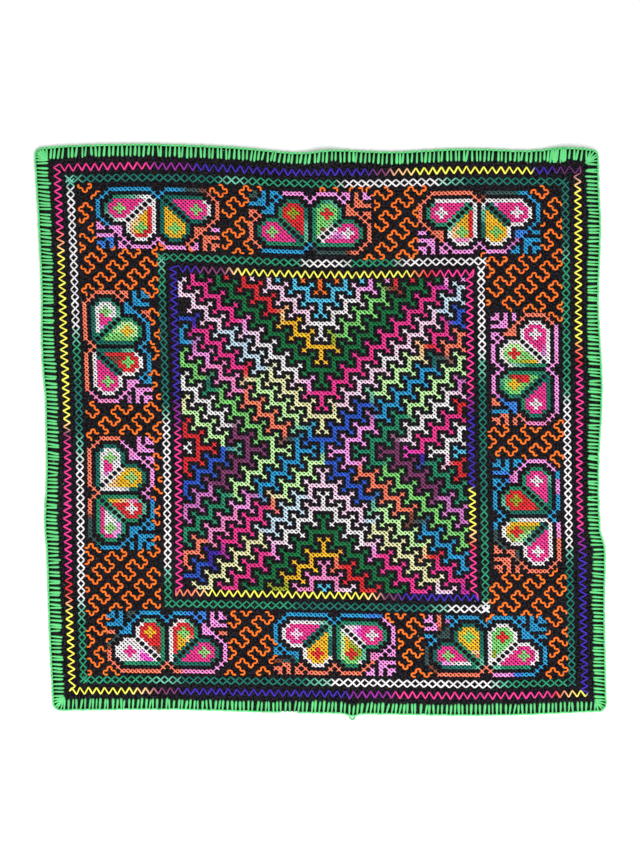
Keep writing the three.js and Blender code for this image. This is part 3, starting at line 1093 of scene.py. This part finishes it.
# The edging is one soft light green yarn in blanket stitch, worked last. Its loops lie along the rim as a
# ridge, and its legs go in over the face and back under the cloth, unevenly spaced and leaning. They crowd
# near two corners, and at the bottom the ridge is bare for a stretch and a small loop stands out.
yarn_green = (101, 210, 129)
leg_pitch = {"bottom": 2.93, "right": 2.78, "top": 2.97, "left": 2.77}
leg_reach = {"bottom": 8.0, "right": 8.7, "top": 8.4, "left": 8.8}
leg_lean = 0.55
leg_start = 0.65
uneven_leg = {"pitch": 0.28, "reach": 0.35, "lean": 0.48, "width": 0.11, "tone": 0.05}
reach_waves = [{"by": 0.3, "length": 23.0}, {"by": 0.2, "length": 9.0}]
lean_wave = {"by": 0.25, "length": 31.0}
leg_level = ground_face + 0.35
over_leg = {
    "width": 1.74,
    "thickness": 1.0,
    "sides": 6,
    "along": [0, 0.12, 0.35, 0.65, 0.9, 1.0],
    "height": [1.9, 2.05, leg_level + 0.05, leg_level, leg_level, ground_face - 0.2],
    "spread": [0.5, 0.6, 0.9, 1.05, 1.0, 0.7],
}
under_leg = {
    "width": 1.8,
    "thickness": 0.5,
    "sides": 4,
    "along": [0, 0.4, 0.9, 1.0],
    "height": [0.5, 0.32, 0.32, 0.7],
    "spread": [0.8, 1.0, 0.95, 0.7],
}
ridge = {
    "width": 1.25,
    "thickness": 1.7,
    "along": [-0.15, 0.2, 0.5, 0.8, 1.15],
    "inset": [0.95, 0.7, 0.6, 0.7, 0.95],
    "height": [1.25, 1.2, 1.12, 1.05, 1.0],
    "spread": [0.7, 1.0, 1.05, 1.0, 0.7],
}
# The ridge's tone of 1.2 is a painted highlight: it paints the ridge's loops lighter than the legs of the
# same yarn, where they stand up on the rim.
uneven_ridge_and_painted_highlight = {"inset": 0.12, "width": 0.07, "tone": 1.2, "tone_by": 0.05}
ridge_gap = {"left": -31.0, "right": -20.5}
crowded = {"from": 162.5, "to": 171.0, "extra": 8, "longer": 1.2}
full_corner = {"beyond": 3.0, "extra": 7}
loose_loop = {
    "x": 18.6,
    "radius": 1.5,
    "wider": 1.3,
    "longer": 1.5,
    "inset": 0.3,
    "height": 0.9,
    "width": 0.9,
    "bends": 12,
}


def leg_places():
    """Where the legs start along the rim, and how far they reach: about even, each a little out of place."""
    places = []
    reaches = []
    start = 0.0
    for side in ("bottom", "right", "top", "left"):
        length = (across_rim if side in ("bottom", "top") else down_rim) + corner_turn
        count = round(length / leg_pitch[side])
        places.append(start + np.arange(count) * length / count)
        reaches.append(np.full(count, leg_reach[side]))
        start += length
    top_middle = 1.5 * across_rim + down_rim + 2 * corner_turn
    places.append(top_middle - np.linspace(crowded["from"], crowded["to"], crowded["extra"]))
    reaches.append(np.full(crowded["extra"], leg_reach["top"] + crowded["longer"]))
    bend = 2 * across_rim + down_rim + 2 * corner_turn
    beyond = full_corner["beyond"]
    places.append(np.linspace(bend - beyond, bend + corner_turn + beyond, full_corner["extra"]))
    reaches.append(np.full(full_corner["extra"], leg_reach["top"]))
    places = np.concatenate(places)
    reaches = np.concatenate(reaches)
    return (places + hand_work.normal(0, uneven_leg["pitch"], places.size),
            reaches + hand_work.normal(0, uneven_leg["reach"], places.size))


def leg_yarn(shape, starts, holes, dye):
    """The legs on one side of the cloth, from where they leave the ridge to their holes."""
    share = np.array(shape["along"])[None, :]
    x, y = (start[:, None] * (1 - share) + hole[:, None] * share for start, hole in zip(starts, holes))
    fullness = hand_work.normal(1, uneven_leg["width"], len(dye))[:, None]
    return {
        "line": worked(x, y, np.array(shape["height"])[None, :]),
        "half_width": 0.5 * shape["width"] * mm * np.array(shape["spread"])[None, :] * fullness,
        "half_height": np.full(x.shape, 0.5 * shape["thickness"] * mm),
        "dye": np.clip(np.repeat(dye, x.shape[1], axis=1), 0, 1),
        "sides": shape["sides"],
    }


def ridge_yarn(lengths):
    """The loops along the rim, each from one leg to a little past the next."""
    here = np.sort(lengths % around_rim)
    after = np.concatenate([here[1:], here[:1] + around_rim])
    count = len(here)
    at = here[:, None] + (after - here)[:, None] * np.array(ridge["along"])[None, :]
    x, y, out_x, out_y = rim_places(at.ravel())
    inset = np.array(ridge["inset"]) + hand_work.normal(0, uneven_ridge_and_painted_highlight["inset"], count)[:, None]
    x = x - out_x * inset.ravel()
    y = y - out_y * inset.ravel()
    line = worked(x, y, np.tile(ridge["height"], count)).reshape(count, -1, 3)
    middle_x = x.reshape(count, -1)[:, 2]
    middle_y = y.reshape(count, -1)[:, 2]
    kept = ~((middle_y < 0) & (middle_x > ridge_gap["left"]) & (middle_x < ridge_gap["right"]))
    fullness = hand_work.normal(1, uneven_ridge_and_painted_highlight["width"], count)[:, None]
    # The ridge's loops are painted lighter than the legs, a painted highlight on the raised rim.
    tone = hand_work.normal(uneven_ridge_and_painted_highlight["tone"], uneven_ridge_and_painted_highlight["tone_by"], count)[:, None, None]
    dye = np.repeat(linear(yarn_green)[None, None, :] * tone, line.shape[1], axis=1)
    half_width = 0.5 * ridge["width"] * mm * np.array(ridge["spread"])[None, :] * fullness
    return {
        "line": line[kept],
        "half_width": half_width[kept],
        "half_height": np.full(line.shape[:2], 0.5 * ridge["thickness"] * mm)[kept],
        "dye": np.clip(dye, 0, 1)[kept],
        "sides": 6,
    }


def blanket_stitches():
    """The legs over the face, the legs under the cloth and the ridge, all of one yarn."""
    lengths, reach = leg_places()
    x, y, out_x, out_y = rim_places(lengths)
    for wave in reach_waves:
        reach += wave["by"] * np.sin(lengths / wave["length"])
    lean = hand_work.normal(leg_lean, uneven_leg["lean"], lengths.size)
    lean += lean_wave["by"] * np.sin(lengths / lean_wave["length"] + 1.0)
    holes = (
        np.clip(x - out_x * reach - out_y * lean, reach - half_side["x"], half_side["x"] - reach),
        np.clip(y - out_y * reach + out_x * lean, reach - half_side["y"], half_side["y"] - reach),
    )
    starts = (x - out_x * leg_start, y - out_y * leg_start)
    tone = hand_work.normal(1, uneven_leg["tone"], lengths.size)[:, None, None]
    dye = linear(yarn_green)[None, None, :] * tone
    over = leg_yarn(over_leg, starts, holes, dye)
    under = leg_yarn(under_leg, starts, holes, dye)
    return [over, under, ridge_yarn(lengths)]


def standing_loop():
    """A little loop of the yarn that stands out of the bottom edge."""
    turn = np.linspace(-0.15, 1.15, loose_loop["bends"]) * math.pi
    x = loose_loop["x"] - loose_loop["radius"] * np.cos(turn) * loose_loop["wider"]
    rim = -half_side["y"] + loose_loop["inset"]
    y = rim - loose_loop["radius"] * loose_loop["longer"] * np.sin(turn)
    half_yarn = np.full((1, turn.size), 0.5 * loose_loop["width"] * mm)
    return {
        "line": worked(x[None, :], y[None, :], np.full((1, turn.size), loose_loop["height"])),
        "half_width": half_yarn,
        "half_height": half_yarn,
        "dye": np.tile(linear(yarn_green), (1, turn.size, 1)),
        "sides": 6,
    }


yarn = embroidery_cotton("edging_yarn", 1200.0)
edging = thread_piece("blanket_stitch_edging", [*blanket_stitches(), standing_loop()])
dress(edging, yarn)
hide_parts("edging")

# The cloth lies loose on a plain white table top, smooth and matt, and nothing holds it down.
# The room is white and even, with two large soft lamps that show the relief of the threads.
table_reach = 2.0
around_table = np.array([[-1, -1, 0], [1, -1, 0], [1, 1, 0], [-1, 1, 0]])
floor = quad_piece("floor", table_reach * around_table, np.array([[0, 1, 2, 3]]))


def white_board():
    """Matt white paint with a hardly visible grain."""
    material, shade = new_material("white_board")
    place = shade.node("ShaderNodeTexCoord", {}, {}, "Object")
    grain = shade.node("ShaderNodeTexNoise", {}, {"Vector": place, "Scale": 60.0})
    colour = mixed(shade, grain, (0.90, 0.90, 0.90, 1), (0.93, 0.93, 0.93, 1))
    surfaced(shade, colour, roughness=0.7, height=grain, relief=0.02 * mm, lustre=0.3)
    return material


floor.data.materials.append(white_board())

room_light = 0.69
world = bpy.data.worlds.new("soft_room")
world.use_nodes = True
background = world.node_tree.nodes["Background"]
background.inputs["Color"].default_value = (1.0, 1.0, 1.0, 1)
background.inputs["Strength"].default_value = room_light
bpy.context.scene.world = world

softboxes = [
    {"name": "key", "place": (-0.2, -1.2, 1.2), "size": 0.7, "power": 14.0},
    {"name": "fill", "place": (0.9, -0.7, 1.5), "size": 1.2, "power": 16.0},
]
for box in softboxes:
    light = bpy.data.lights.new(box["name"], "AREA")
    light.shape = "SQUARE"
    light.size = box["size"]
    light.energy = box["power"]
    lamp = bpy.data.objects.new(box["name"], light)
    lamp.location = box["place"]
    away = np.array(box["place"])
    tilt = math.acos(away[2] / np.linalg.norm(away))
    heading = math.atan2(away[1], away[0]) + math.pi / 2
    lamp.rotation_euler = (tilt, 0, heading)
    bpy.context.scene.collection.objects.link(lamp)

# The camera stands straight over the cloth with a long lens, framed as the photograph is: the cloth is
# a little below the middle of an upright picture, with white all round.
view = {"x": -0.3 * mm, "y": 2.7 * mm, "height_seen": 597.1 * mm, "lens": 100.0, "sensor": 36.0}
camera_data = bpy.data.cameras.new("camera")
camera_data.sensor_fit = "VERTICAL"
camera_data.sensor_height = view["sensor"]
camera_data.lens = view["lens"]
camera = bpy.data.objects.new("camera", camera_data)
camera.location = (view["x"], view["y"], view["height_seen"] * view["lens"] / view["sensor"])
bpy.context.scene.collection.objects.link(camera)
bpy.context.scene.camera = camera
bpy.context.scene.view_settings.view_transform = "Standard"
